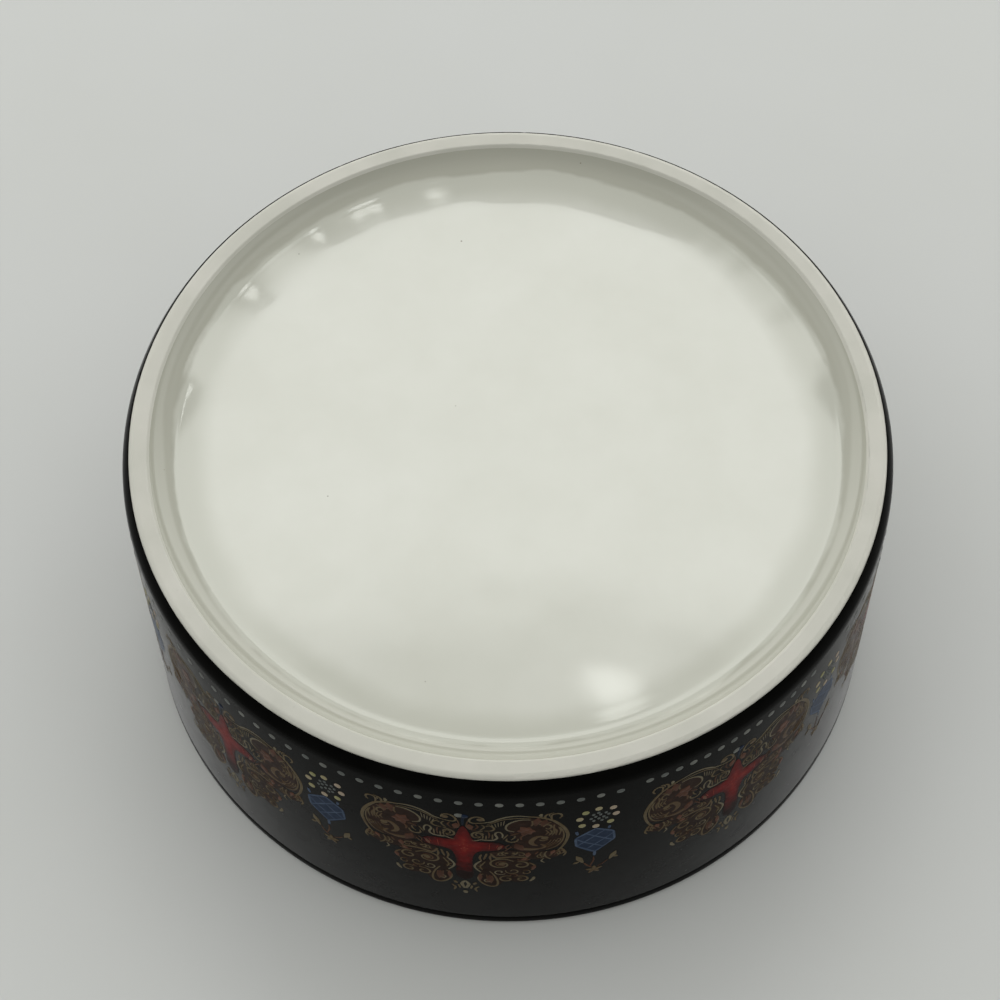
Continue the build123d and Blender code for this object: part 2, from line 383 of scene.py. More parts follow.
def add_piece(name, points, faces, slot, body, tones=None, crease=50):
    """A closed mesh piece with its material and slot, riding on a body."""
    mesh = bpy.data.meshes.new(name)
    mesh.from_pydata(points, [], faces)
    shaped = bmesh.new()
    shaped.from_mesh(mesh)
    bmesh.ops.recalc_face_normals(shaped, faces=shaped.faces)
    shaped.to_mesh(mesh)
    shaped.free()
    mesh.shade_smooth()
    mesh.set_sharp_from_angle(angle=math.radians(crease))
    if tones:
        mesh.attributes.new("tone", "FLOAT", "POINT").data.foreach_set("value", tones)
    mesh.materials.append(paints[slot])
    piece = bpy.data.objects.new(name, mesh)
    bpy.context.scene.collection.objects.link(piece)
    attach(piece, body)
    return piece


def smooth_line(points, step=0.4):
    """Points about one step apart along the smooth curve through a few points."""
    points = [Vector(point) for point in points]
    if len(points) == 2:
        points.insert(1, (points[0] + points[1]) / 2)
    padded = [2 * points[0] - points[1]] + points + [2 * points[-1] - points[-2]]
    line = []
    for before, start, end, after in zip(padded, padded[1:], padded[2:], padded[3:]):
        count = max(2, round((end - start).length / step))
        for index in range(count):
            t = index / count
            line.append(0.5 * (2 * start + (end - before) * t
                               + (2 * before - 5 * start + 4 * end - after) * t * t
                               + (3 * start - before - 3 * end + after) * t ** 3))
    return line + [points[-1]]


class Relief:
    """Low relief to be laid on the wall, drawn in millimetres out from a middle line and down from a top."""

    def __init__(self):
        self.points = []
        self.faces = []
        self.tones = []
        self.random = random.Random(seed)

    def add(self, points, faces, tones):
        first = len(self.points)
        self.points += points
        self.tones += tones
        self.faces += [[first + index for index in face] for face in faces]

    def stroke(self, points, widths, tone=0.5, lift=line_lift, step=0.4):
        """A crowned line along a smooth curve. Widths are at its start, middle and end."""
        line = smooth_line(points, step)
        lift += self.random.uniform(-lift_jitter, lift_jitter)
        start_width, middle_width, end_width = widths
        made = []
        for index, place in enumerate(line):
            share = index / (len(line) - 1)
            ahead = line[min(index + 1, len(line) - 1)] - line[max(index - 1, 0)]
            side = Vector((-ahead.y, ahead.x)).normalized()
            bow = 4 * share * (1 - share)
            ends = start_width + (end_width - start_width) * share
            half = (ends * (1 - bow) + middle_width * bow) / 2
            low = line_edge_share * lift
            left = place - side * half
            right = place + side * half
            made += [(*left, low), (*place, lift), (*right, low), (*place, sunk_lift)]
        faces = [(0, 1, 2, 3), tuple(4 * (len(line) - 1) + corner for corner in (3, 2, 1, 0))]
        for index in range(len(line) - 1):
            for corner in range(4):
                following = (corner + 1) % 4
                low = 4 * index
                faces.append((low + corner, low + corner + 4, low + following + 4, low + following))
        self.add(made, faces, [tone] * len(made))

    def curl(self, middle, radius, start, sweep, widths, tone=0.5):
        """A spiral that winds in towards its middle. Turns are in degrees from outwards towards down."""
        count = max(4, round(abs(sweep) / 40))
        points = []
        for index in range(count + 1):
            share = index / count
            turn = math.radians(start + sweep * share)
            reach = radius * (1 - 0.75 * share)
            points.append((middle[0] + reach * math.cos(turn), middle[1] + reach * math.sin(turn)))
        self.stroke(points, widths, tone, step=0.3)

    def patch(self, outline, middle, lift, tone=0.5, rings=5, edge_tone=None, crown=0.0, step=0.7):
        """A filled area inside a smooth closed outline that can be seen whole from its middle."""
        closed = smooth_line(list(outline) + [outline[0]], step)[:-1]
        middle = Vector(middle)
        if edge_tone is None:
            edge_tone = tone
        made = [(*middle, lift + crown)]
        tones = [tone]
        for ring in range(1, rings + 1):
            share = ring / rings
            for edge in closed:
                made.append((*(middle + (edge - middle) * share), lift + crown * (1 - share * share)))
                tones.append(tone + (edge_tone - tone) * share)
        made += [(*edge, sunk_lift) for edge in closed] + [(*middle, sunk_lift)]
        tones += [edge_tone] * (len(closed) + 1)
        count = len(closed)
        faces = []
        for index in range(count):
            following = (index + 1) % count
            faces.append((0, 1 + index, 1 + following))
            for ring in range(rings):
                low = 1 + ring * count
                faces.append((low + index, low + count + index, low + count + following, low + following))
            low = 1 + rings * count
            faces.append((low + index, len(made) - 1, low + following))
        self.add(made, faces, tones)

    def dot(self, middle, radius, tone=0.5, lift=bead_lift, tall=1.0, sides=14):
        """A round drop of colour, crowned."""
        outline = []
        for index in range(sides):
            turn = 2 * math.pi * index / sides
            outline.append((middle[0] + radius * math.cos(turn), middle[1] + radius * tall * math.sin(turn)))
        self.patch(outline, middle, 0.3 * lift, tone, rings=3, crown=0.7 * lift, step=2)

    def leaf(self, start, end, width, tone):
        """A pointed leaf between two points, broadest a little before its middle."""
        start, end = Vector(start), Vector(end)
        ahead = end - start
        side = Vector((-ahead.y, ahead.x)).normalized()
        middle = (start + end) / 2
        shoulder = middle - 0.2 * ahead
        outline = [start, shoulder + side * width * 0.42, middle + side * width / 2,
                   end, middle - side * width / 2, shoulder - side * width * 0.42]
        self.patch(outline, middle, leaf_lift, tone, rings=3, crown=leaf_crown, step=0.5)

    def lay(self, name, slot, turn, top, replaced, mirrored=False):
        """Lay the relief on the wall, its middle line at a turn about the axis and its top at a height."""
        points = []
        faces = []
        sides, shift = ((-1, 1), drawing_shift) if mirrored else ((1,), 0.0)
        for side in sides:
            first = len(points)
            for out, down, lift in self.points:
                angle = turn + side * (out - shift) / wall_radius
                radius = (wall_radius + lift) * mm
                points.append((radius * math.cos(angle), radius * math.sin(angle), (top - down) * mm))
            faces += [[first + index for index in face] for face in self.faces]
        piece = add_piece(name, points, faces, slot, "box", self.tones * len(sides))
        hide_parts(replaced)


def scroll_field():
    """The dark grounds that the scrolls lie on, on one side of the cross."""
    field = Relief()
    field.patch([(8.7, 2.1), (10.6, 3.0), (12.1, 5.0), (12.9, 8.2), (12.5, 11.2), (10.5, 12.4), (7.6, 12.4),
                 (6.0, 10.8), (6.9, 8.8), (5.8, 6.0), (5.7, 4.2), (6.6, 2.8)], (9.0, 7.6), field_lift, 0.45)
    field.patch([(5.6, 2.6), (5.5, 5.2), (6.2, 8.6), (4.6, 8.8), (2.2, 8.9), (1.4, 7.4), (1.2, 5.0),
                 (3.4, 3.6)],
                (3.9, 6.2), field_lift, 0.1)
    field.patch([(8.2, 15.2), (9.0, 17.6), (7.9, 19.6), (8.2, 21.2), (7.4, 22.5), (5.4, 22.0), (4.4, 23.8),
                 (2.7, 23.4), (1.9, 21.0), (2.3, 18.8), (1.6, 17.4), (2.6, 15.4), (5.4, 14.9)],
                (5.2, 18.9), field_lift, 0.38)
    field.patch([(8.6, 12.4), (10.8, 12.8), (12.4, 12.6), (12.7, 14.2), (10.8, 15.2), (8.2, 15.0),
                 (4.4, 14.5), (3.4, 12.9), (5.6, 12.0)], (7.8, 13.5), field_lift + 0.004, 0.42)
    return field


def scroll_leaves():
    """The broad leaves, petals and knobs among the scrolls, on one side of the cross."""
    leaves = Relief()
    for petal in ((8.5, 4.8), (7.4, 4.6), (9.3, 6.2), (8.7, 7.1), (7.7, 7.5), (6.9, 5.9)):
        leaves.leaf((8.1, 5.9), petal, 1.0, 0.8)
    for start, end, width, tone in (
        ((8.4, 12.8), (8.2, 14.3), 0.8, 0.85),
        ((8.3, 14.6), (7.4, 15.0), 0.6, 0.9),
        ((11.7, 12.6), (11.2, 13.9), 0.6, 0.9),
        ((1.0, 4.2), (1.2, 5.9), 0.9, 0.85),
        ((6.7, 9.9), (7.7, 12.1), 1.2, 0.75),
        ((9.6, 2.0), (9.2, 4.6), 1.0, 0.72),
        ((10.6, 2.8), (10.0, 4.8), 1.0, 0.7),
        ((5.0, 10.4), (4.5, 12.0), 0.55, 1.0),
        ((9.2, 17.0), (8.9, 18.6), 0.6, 0.85),
        ((3.4, 20.2), (3.4, 22.8), 0.9, 0.7),
        ((2.2, 19.8), (2.1, 22.4), 0.6, 0.8),
    ):
        leaves.leaf(start, end, width, tone)
    return leaves


def scroll_lines():
    """The gold scrolls on one side of the cross: places are out from the middle line and down."""
    gold = Relief()
    brown, dim, olive, pale = 0.1, 0.35, 0.5, 0.8
    fine = (0.1, 0.14, 0.08)
    thin = (0.14, 0.24, 0.12)
    even = (0.2, 0.32, 0.18)
    full = (0.28, 0.48, 0.26)
    broad = (0.3, 0.8, 0.3)
    for widths, tone, points in (
        # The big C, the double line at its top and the hook inside it
        (even, pale, [(2.9, 3.5), (3.8, 3.1), (4.5, 2.4), (5.3, 1.8), (6.2, 1.4), (7.3, 1.3), (8.4, 1.6)]),
        (full, olive, [(8.3, 1.6), (9.5, 1.9), (10.5, 2.5), (11.4, 3.3), (12.2, 4.6), (12.9, 6.2),
                       (13.3, 8.1), (13.15, 9.9), (12.7, 11.6), (12.1, 12.8)]),
        (thin, olive, [(3.3, 3.9), (4.2, 3.2), (5.0, 2.5), (6.2, 2.1), (7.6, 2.0), (8.6, 2.2)]),
        (even, pale, [(8.6, 2.6), (7.6, 2.5), (6.8, 2.8), (6.1, 3.4), (5.65, 4.2), (5.55, 5.0), (5.8, 5.7),
                      (6.6, 6.1)]),
        (thin, olive, [(12.3, 5.6), (12.7, 7.0), (12.8, 8.6), (12.5, 10.2), (11.8, 11.5), (10.6, 12.3)]),
        # Knobbed curl beside the crown
        (even, olive, [(2.9, 2.9), (2.7, 2.1), (2.0, 1.8), (1.3, 2.3), (1.0, 3.2), (1.4, 3.8), (2.3, 3.7),
                       (3.0, 3.5)]),
        (thin, brown, [(0.85, 3.3), (0.7, 4.2), (0.7, 5.1), (1.1, 5.8), (1.8, 5.9)]),
        (even, olive, [(3.1, 4.6), (3.5, 4.3), (4.0, 4.8), (4.1, 5.4), (3.7, 5.9), (2.9, 6.0)]),
        (thin, olive, [(2.5, 4.1), (2.9, 4.7), (2.7, 5.3), (2.3, 5.9)]),
        (thin, brown, [(1.8, 4.1), (2.1, 4.9), (1.7, 5.6)]),
        # Shell and scallops above the arm
        (even, pale, [(5.1, 8.0), (5.15, 7.0), (4.85, 6.3), (4.4, 6.35), (4.2, 7.0), (4.45, 7.8),
                      (4.4, 8.3), (4.0, 8.8), (3.4, 8.9), (2.9, 8.9), (2.4, 8.8), (1.9, 9.2), (1.3, 9.3)]),
        (even, olive, [(2.7, 6.0), (2.1, 6.4), (1.55, 6.8), (1.3, 7.4), (1.5, 8.1), (2.1, 8.3), (2.4, 7.8)]),
        (thin, olive, [(3.9, 7.0), (3.85, 8.6)]),
        (thin, olive, [(3.1, 7.4), (3.05, 8.7)]),
        (thin, olive, [(2.3, 6.9), (2.7, 7.6), (2.6, 8.5)]),
        (thin, brown, [(3.4, 6.3), (3.5, 7.3), (3.4, 8.2)]),
        # Loops between the shell and the flower
        (even, olive, [(7.1, 8.3), (6.9, 9.1), (6.2, 9.4), (5.6, 8.9), (5.7, 8.2)]),
        (thin, olive, [(6.7, 7.3), (6.6, 8.0), (6.2, 8.6)]),
        (thin, olive, [(5.8, 7.0), (5.5, 7.7), (5.2, 8.4)]),
        (even, brown, [(7.7, 7.3), (7.4, 8.0), (7.5, 8.7)]),
        (thin, brown, [(7.2, 6.6), (6.6, 6.9), (6.1, 7.3)]),
        # The S with its knob, and the long leaf that curls round under it
        (broad, 0.3, [(10.2, 8.0), (9.5, 8.0), (9.0, 8.6), (8.7, 9.5), (8.9, 10.3), (9.5, 10.8)]),
        (even, dim, [(10.8, 9.0), (10.2, 9.3), (9.7, 9.0)]),
        (full, dim, [(9.9, 10.4), (10.4, 10.9), (10.3, 11.5), (9.6, 11.8)]),
        (broad, 0.3, [(9.9, 11.7), (9.0, 11.9), (8.0, 11.7), (7.2, 11.1), (6.8, 10.2)]),
        # Acanthus curls on the left of the C
        (even, 0.4, [(8.8, 2.9), (8.9, 3.8), (8.7, 4.5)]),
        (even, dim, [(11.2, 3.7), (10.6, 4.2), (10.2, 5.0)]),
        (even, olive, [(10.2, 4.9), (10.6, 4.4), (11.1, 4.7), (11.2, 5.4), (10.8, 5.8), (10.5, 5.4)]),
        (even, dim, [(11.6, 4.6), (11.5, 5.6), (11.9, 6.6), (11.8, 7.8)]),
        (thin, olive, [(11.0, 6.0), (11.3, 6.9), (10.9, 7.8)]),
        (thin, dim, [(10.5, 6.0), (10.8, 6.8), (10.5, 7.5)]),
        (thin, olive, [(12.1, 5.4), (12.4, 6.6), (12.2, 8.0)]),
        (thin, olive, [(11.5, 6.0), (11.6, 7.0), (11.3, 7.9)]),
        # Ears at the outer top corner
        (even, olive, [(12.2, 2.8), (12.5, 2.2), (12.3, 1.5), (11.7, 1.3), (11.2, 1.7), (11.2, 2.5),
                       (11.3, 3.2)]),
        (even, olive, [(10.9, 1.1), (10.5, 1.5), (10.4, 2.1), (10.6, 2.8)]),
        (thin, olive, [(11.5, 1.0), (11.0, 1.2), (10.9, 1.9)]),
        (full, pale, [(10.0, 1.0), (9.85, 1.4), (10.0, 1.8)]),
        # Tails at the outer bottom corner
        (even, olive, [(12.5, 12.2), (12.9, 13.2), (13.1, 14.1), (12.8, 14.8)]),
        (thin, olive, [(12.2, 12.9), (12.4, 13.8), (12.0, 14.5)]),
        (thin, brown, [(12.9, 12.6), (12.1, 13.2), (11.6, 14.2)]),
        (even, olive, [(10.7, 12.8), (10.4, 13.7), (10.7, 14.8), (11.2, 15.4)]),
        (thin, olive, [(10.1, 12.9), (9.8, 13.7), (10.1, 14.5)]),
        (thin, pale, [(10.3, 15.0), (10.0, 15.8), (10.4, 16.4)]),
        (even, brown, [(9.6, 12.7), (9.2, 13.5)]),
        (thin, 0.3, [(11.4, 13.8), (11.0, 14.4)]),
        # Bracket and leaf fan under the arm
        (even, olive, [(7.0, 12.5), (6.8, 13.2), (6.2, 13.6)]),
        (even, olive, [(5.2, 12.4), (5.0, 13.1), (5.5, 13.6)]),
        (thin, brown, [(6.3, 10.8), (5.8, 11.5), (5.4, 12.2)]),
        (thin, brown, [(6.0, 10.2), (5.5, 10.8), (5.6, 11.6)]),
        (full, 0.4, [(8.4, 14.3), (7.6, 14.3), (6.4, 14.1), (5.2, 14.3), (4.3, 14.5), (3.9, 13.9),
                     (3.6, 13.1)]),
        (even, 0.4, [(3.7, 13.4), (3.5, 14.4), (3.6, 15.4)]),
        (even, 0.4, [(3.1, 13.2), (2.9, 14.3), (2.7, 15.2)]),
        (even, 0.4, [(2.4, 13.6), (2.2, 14.7), (2.4, 15.6)]),
        (thin, brown, [(4.6, 13.2), (4.3, 13.8)]),
        (even, brown, [(8.6, 15.1), (7.6, 15.3), (6.9, 15.0)]),
        # Lower C with its feathered edge, and the shell beneath it
        (even, pale, [(2.4, 15.6), (1.8, 16.6), (1.5, 17.6), (1.8, 18.6), (2.3, 19.4)]),
        (thin, olive, [(2.9, 15.8), (2.5, 16.8), (2.2, 17.6), (2.5, 18.6)]),
        (fine, olive, [(2.1, 16.6), (2.6, 17.0)]),
        (fine, olive, [(1.8, 17.4), (2.4, 17.7)]),
        (fine, olive, [(1.9, 18.2), (2.6, 18.1)]),
        (even, dim, [(8.5, 16.2), (9.1, 17.0), (9.2, 17.9), (8.7, 18.6)]),
        (full, pale, [(9.1, 20.9), (9.0, 21.6), (8.6, 22.3)]),
        (even, olive, [(3.4, 18.9), (3.9, 20.0), (4.3, 21.4), (4.45, 22.8), (4.2, 23.8), (3.5, 24.0),
                       (2.8, 23.5), (2.2, 22.6), (1.9, 21.5), (2.1, 20.5), (2.6, 19.9)]),
        (thin, brown, [(3.7, 20.4), (3.8, 21.8), (3.5, 23.0)]),
        (thin, brown, [(3.0, 20.2), (3.1, 21.6), (2.9, 22.9)]),
        # Finial under the cross
        (full, pale, [(0.2, 22.7), (0.65, 23.8), (0.3, 25.2)]),
        (full, olive, [(1.6, 23.1), (1.3, 23.8)]),
        (even, olive, [(2.0, 24.4), (1.5, 25.1), (1.7, 26.1)]),
        (even, olive, [(1.1, 24.2), (0.9, 25.3)]),
        (full, pale, [(0.3, 26.1), (0.25, 26.9)]),
    ):
        gold.stroke(points, widths, tone)
    # The comb of fine lines beside the crown, then the feathers that run round inside the big C
    for index in range(5):
        gold.stroke([(5.4 - 0.4 * index, 2.7 + 0.3 * index),
                     (5.25 - 0.3 * index, 4.1 + 0.22 * index)], fine, pale)
    for index in range(4):
        inset = 0.42 * index
        places = [(12.5 - inset, 8.9 + 0.1 * index), (12.1 - inset, 10.2), (11.3 - inset, 11.1),
                  (10.6, 11.5 - 0.2 * index)]
        gold.stroke(places, fine, 0.3)
    for middle, radius, start, sweep, widths, tone in (
        ((4.9, 16.5), 1.85, 330, -430, even, olive),
        ((5.0, 16.6), 1.05, 300, -300, thin, brown),
        ((7.4, 16.8), 1.15, 250, 400, even, olive),
        ((6.4, 18.8), 1.0, 200, -380, thin, olive),
        ((8.0, 19.3), 0.8, 250, 330, thin, dim),
        ((4.7, 19.2), 0.85, 30, 380, thin, pale),
        ((7.5, 21.4), 1.0, 240, 400, even, olive),
        ((5.6, 21.4), 1.1, 300, -400, even, olive),
        ((6.6, 20.3), 0.6, 180, 320, thin, brown),
        ((3.2, 22.2), 0.6, 270, -330, thin, pale),
        ((12.3, 13.6), 0.75, 230, 380, thin, olive),
        ((10.0, 14.3), 0.7, 300, -380, thin, olive),
        ((7.4, 13.4), 0.7, 200, 350, thin, olive),
        ((5.0, 13.3), 0.7, 340, -350, thin, olive),
        ((2.4, 7.2), 0.75, 90, 350, thin, olive),
        ((9.8, 3.8), 0.75, 160, 360, thin, olive),
        ((11.5, 6.8), 0.7, 200, -360, thin, dim),
        ((12.0, 9.6), 0.5, 270, 330, thin, olive),
    ):
        gold.curl(middle, radius, start, sweep, widths, tone)
    for middle, radius in (
        ((2.4, 2.65), 0.45),
        ((10.4, 8.5), 0.55),
        ((6.5, 12.9), 0.34),
        ((5.6, 12.9), 0.34),
        ((5.0, 16.5), 0.55),
    ):
        gold.dot(middle, radius, 0.4, lift=leaf_lift)
    return gold


def enamelled_cross():
    """The red cross, brightest where its arms meet and dying away towards its foot."""
    cross = Relief()
    half = [(0, 4.9), (0.35, 5.5), (0.65, 6.6), (0.9, 7.8), (1.2, 8.9), (1.7, 9.5), (2.7, 9.6), (3.9, 9.5),
            (4.8, 10.0), (5.4, 10.8), (5.3, 11.5), (4.5, 12.0), (3.3, 12.3), (2.2, 12.5), (1.6, 13.0),
            (1.2, 14.2), (1.05, 16.0), (1.1, 18.0), (1.15, 19.8), (0.9, 21.4), (0, 22.2)]
    mirrored = [(-out, down) for out, down in reversed(half[1:-1])]
    outline = half + mirrored
    cross.patch(outline, (0.0, 11.0), leaf_lift, 0.62, rings=12, edge_tone=0.22, crown=0.01, step=0.6)
    fading = []
    for (out, down, lift), tone in zip(cross.points, cross.tones):
        foot = min(1.0, max(0.0, (down - 12.5) / 8.5))
        arm = min(1.0, max(0.0, (abs(out) - 2.0) / 3.5))
        fading.append(tone - 0.32 * foot - 0.18 * arm)
    cross.tones = fading
    for side in (-1, 1):
        for start, end in (
            ((5.0, 10.4), (4.5, 11.7)),
            ((4.4, 10.3), (4.1, 11.2)),
            ((3.3, 10.1), (3.2, 11.9)),
        ):
            cross.stroke([(side * start[0], start[1]), (side * end[0], end[1])], (0.06, 0.16, 0.06), 0.85)
    for place in ((0.0, 10.6), (0.5, 11.0), (-0.5, 11.1), (0.1, 11.6), (-0.3, 12.1), (0.45, 12.0)):
        cross.dot(place, 0.17, 0.85, lift=leaf_lift + 0.02, sides=8)
    return cross


def medallion_beads():
    """The ring of beads, each crowned, on an oval."""
    beads = Relief()
    places = [(-1.61, -1.97), (0.04, -2.57), (1.91, -1.97), (2.32, 0.04), (1.64, 2.06), (-0.22, 2.61),
              (-2.0, 1.78), (-2.32, -0.28)]
    tones = (0.1, 0.5, 0.9, 0.9, 0.2, 0.8, 0.3, 0.6)
    for place, tone in zip(places, tones):
        beads.dot(place, 0.47, tone, tall=1.12)
    return beads


def add_ornament():
    """The nine printed sections round the wall."""
    field, leaves, gold, cross = scroll_field(), scroll_leaves(), scroll_lines(), enamelled_cross()
    for number in range(1, section_count + 1):
        first, last = spread("cross_%d" % number)
        turn = (first + last) / 2 - drawing_shift / wall_radius
        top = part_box("cross_%d" % number)[1].z / mm + cartouche_rise
        cartouche = "cartouche_%d" % number
        field.lay("scroll_field_%d" % number, "brown_print", turn, top, cartouche, mirrored=True)
        leaves.lay("scroll_leaves_%d" % number, "brown_print", turn, top, cartouche, mirrored=True)
        gold.lay("scrolls_%d" % number, "gold_print", turn, top, cartouche, mirrored=True)
        cross.lay("enamelled_cross_%d" % number, "red_print", turn, top, "cross_%d" % number)
        add_crown(number, turn, top)
        add_dots(number)
        add_medallion(number)


def spread(node):
    """The first and last turn about the axis that a node on the wall reaches."""
    places = [vertex.co for vertex in nodes[node].data.vertices]
    middle = math.atan2(sum(place.y for place in places), sum(place.x for place in places))
    turned = Matrix.Rotation(-middle, 3, "Z")
    turns = [math.atan2((turned @ place).y, (turned @ place).x) for place in places]
    return middle + min(turns), middle + max(turns)


def add_crown(number, turn, top):
    """The white bead and the blue drop over the cross."""
    white = Relief()
    white.dot((-0.45, 1.8), 0.55, 0.5)
    white.lay("crown_bead_%d" % number, "silver_print", turn, top, "cartouche_%d" % number)
    blue = Relief()
    blue.dot((0.25, 1.9), 0.5, 0.3, lift=0.1)
    blue.stroke([(0.1, 2.2), (0.0, 3.2), (0.0, 4.7)], (0.5, 0.4, 0.2), 0.05)
    blue.lay("crown_drop_%d" % number, "blue_print", turn, top, "cartouche_%d" % number)


def add_dots(number):
    """A row of round dots just under the shoulder."""
    node = "dot_row_%d" % number
    first, last = spread(node)
    low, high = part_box(node)
    radius = (high.z - low.z) / mm / 2
    first += radius / wall_radius
    last -= radius / wall_radius
    row = Relief()
    for index in range(dots_in_row):
        out = (last - first) * wall_radius * (index / (dots_in_row - 1) - 0.5)
        down = row.random.uniform(-0.05, 0.05)
        tone = row.random.uniform(0.25, 0.6)
        row.dot((out, down), 0.8 * radius, tone, lift=0.07)
    row.lay("dots_%d" % number, "silver_print", (first + last) / 2, (low.z + high.z) / mm / 2, node)


def add_medallion(number):
    """Beads round a lozenge of seed dots, a latticed shield and a spray of leaves with a flower."""
    node = "medallion_%d" % number
    first, last = spread(node)
    turn = (first + last) / 2
    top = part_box(node)[1].z / mm + medallion_rise
    medallion_beads().lay("beads_%d" % number, "cream_print", turn, top, node)
    seeds = Relief()
    places = [(0.03, -1.35), (-0.6, -1.0), (1.0, -1.0), (0.3, -0.72), (-0.32, -0.3), (1.35, -0.38),
              (-0.88, 0.11), (0.1, 0.39), (0.72, 0.11), (1.07, 0.67), (-0.53, 0.88), (0.51, 1.08)]
    for place in places:
        seeds.dot(place, 0.22, 0.2, lift=0.08, tall=1.3, sides=10)
    seeds.lay("seed_dots_%d" % number, "silver_print", turn, top, node)

    shield = Relief()
    shield.patch([(-0.2, 3.3), (1.0, 4.3), (2.1, 5.3), (2.35, 6.7), (2.25, 7.9), (1.2, 9.4), (-0.2, 10.8),
                  (-1.5, 9.6), (-2.6, 8.1), (-2.8, 6.8), (-2.7, 5.5),
                  (-1.5, 4.4)], (-0.2, 6.9), leaf_lift, 0.45, edge_tone=0.5)
    for line in (
        ((-2.7, 5.5), (-0.2, 3.4)),
        ((-0.2, 3.4), (2.1, 5.3)),
        ((-2.6, 8.0), (-0.25, 5.6), (1.0, 4.4)),
        ((-1.5, 9.5), (0.9, 7.2), (2.3, 5.7)),
        ((-0.2, 10.7), (2.25, 7.9)),
        ((-1.5, 4.4), (1.0, 7.0), (2.2, 8.2)),
        ((-2.7, 5.7), (-1.6, 7.1), (1.0, 9.6)),
        ((-2.6, 8.0), (-0.2, 10.7)),
        ((-2.75, 5.5), (-2.6, 8.0)),
        ((2.1, 5.3), (2.3, 7.9)),
        ((-0.2, 10.5), (-0.2, 12.0)),
        ((-2.5, 4.5), (-2.7, 3.4)),
        ((1.5, 4.2), (1.6, 3.4)),
    ):
        shield.stroke(line, (0.26, 0.42, 0.26), 0.85)
    shield.lay("latticed_shield_%d" % number, "blue_print", turn, top, "shield_%d" % number)

    spray = Relief()
    spray.leaf((-2.6, 11.2), (-1.6, 13.9), 0.8, 0.55)
    spray.leaf((2.7, 12.1), (1.8, 14.4), 0.8, 0.6)
    spray.leaf((3.0, 14.1), (2.1, 13.4), 0.5, 0.5)
    spray.leaf((-3.0, 13.7), (-2.1, 13.2), 0.5, 0.5)
    spray.stroke([(-1.5, 14.0), (-1.1, 14.9), (-0.5, 15.7)], (0.2, 0.3, 0.2), 0.05)
    spray.stroke([(1.6, 14.4), (1.0, 15.2), (0.3, 15.8)], (0.15, 0.2, 0.15), 0.05)
    spray.stroke([(-0.3, 12.4), (-0.3, 13.6), (-0.7, 15.2)], (0.15, 0.25, 0.15), 0.05)
    spray.lay("spray_%d" % number, "gold_print", turn, top, node)
    flower = Relief()
    middle = (-0.18, 16.6)
    for index in range(5):
        angle = 2 * math.pi * (index + 0.5) / 5
        tip = (middle[0] + 1.2 * math.sin(angle), middle[1] + 1.2 * math.cos(angle))
        flower.leaf(middle, tip, 0.55, 0.45)
    flower.lay("flower_%d" % number, "gold_print", turn, top, node)


def pool_profile():
    """The glaze's own surface: level further out than the porcelain below, then up the cove in one curve."""
    middle_z, outline = well_profile(0.0)
    level = outline[floor_rings - 1][1]
    start = Vector(outline[floor_rings + apron_rings - 1])
    outline = outline[:floor_rings]
    for index in range(1, level_rings + 1):
        outline.append((well_flat_radius + (pool_radius - well_flat_radius) * index / level_rings, level))
    rings_left = apron_rings + cove_rings - level_rings
    for index in range(1, rings_left + 1):
        turn = glaze_edge_turn * index / rings_left
        across, along = math.sin(turn), math.cos(turn)
        pool = Vector((pool_radius + cove_radius * across, level + cove_radius * (1 - along)))
        wall = start + cove_radius * Vector((across - math.sin(apron_turn), math.cos(apron_turn) - along))
        share = (turn - apron_turn) / (0.5 * glaze_edge_turn)
        outline.append(tuple(pool.lerp(wall, smooth(share))))
    return middle_z, outline


def well_profile(lift):
    """The well's outline from its middle out to the glaze's edge, as radius and height."""
    apron_rise = apron_radius * (1 - math.cos(apron_turn))
    cove_rise = cove_radius * (math.cos(apron_turn) - math.cos(cove_turn))
    base = ring_top - apron_rise - cove_rise
    outline = []
    for index in range(1, floor_rings + 1):
        r = well_flat_radius * index / floor_rings
        outline.append((r, base + well_dome * (1 - (r / well_flat_radius) ** 2) + lift))
    for index in range(1, apron_rings + 1):
        turn = apron_turn * index / apron_rings
        r = well_flat_radius + apron_radius * math.sin(turn)
        outline.append((r, base + apron_radius * (1 - math.cos(turn)) + lift))
    start_r, start_z = outline[-1]
    for index in range(1, cove_rings + 1):
        turn = apron_turn + (glaze_edge_turn - apron_turn) * index / cove_rings
        outline.append((start_r + cove_radius * (math.sin(turn) - math.sin(apron_turn)),
                        start_z + cove_radius * (math.cos(apron_turn) - math.cos(turn))))
    return base + well_dome + lift, outline


def smooth(share):
    """A share from 0 to 1, eased at both ends."""
    share = min(1.0, max(0.0, share))
    return share * share * (3 - 2 * share)


def wave(x, y, length, height, layer):
    return height * noise.noise(Vector((x / length, y / length, layer)))


def ripple(x, y):
    """How far the glaze stands off its even surface, in millimetres: slow waves and a faint ring."""
    reach = math.hypot(x - ring_middle[0], y - ring_middle[1])
    ring = math.exp(-((reach - ring_radius) / ring_width) ** 2)
    return wave(x, y, *slow_wave) + wave(x, y, *fine_wave) - ring_depth * ring


def shelf(x, y):
    """How far the glaze climbs towards the cove, in millimetres."""
    reach = math.hypot(x, y)
    if reach < shelf_inner_radius or y < shelf_side[0]:
        return 0.0
    across, along = shelf_radius * x / reach, shelf_radius * y / reach
    start = shelf_radius + wave(across, along, *slow_tear) + wave(across, along, *fine_tear)
    climb = shelf_slope * min(max(0.0, reach - start), shelf_end - start)
    kept = smooth((along - shelf_side[0]) / (shelf_side[1] - shelf_side[0]))
    faded = smooth((reach - shelf_fade[0]) / (shelf_fade[1] - shelf_fade[0]))
    return climb * kept * (1 - faded)


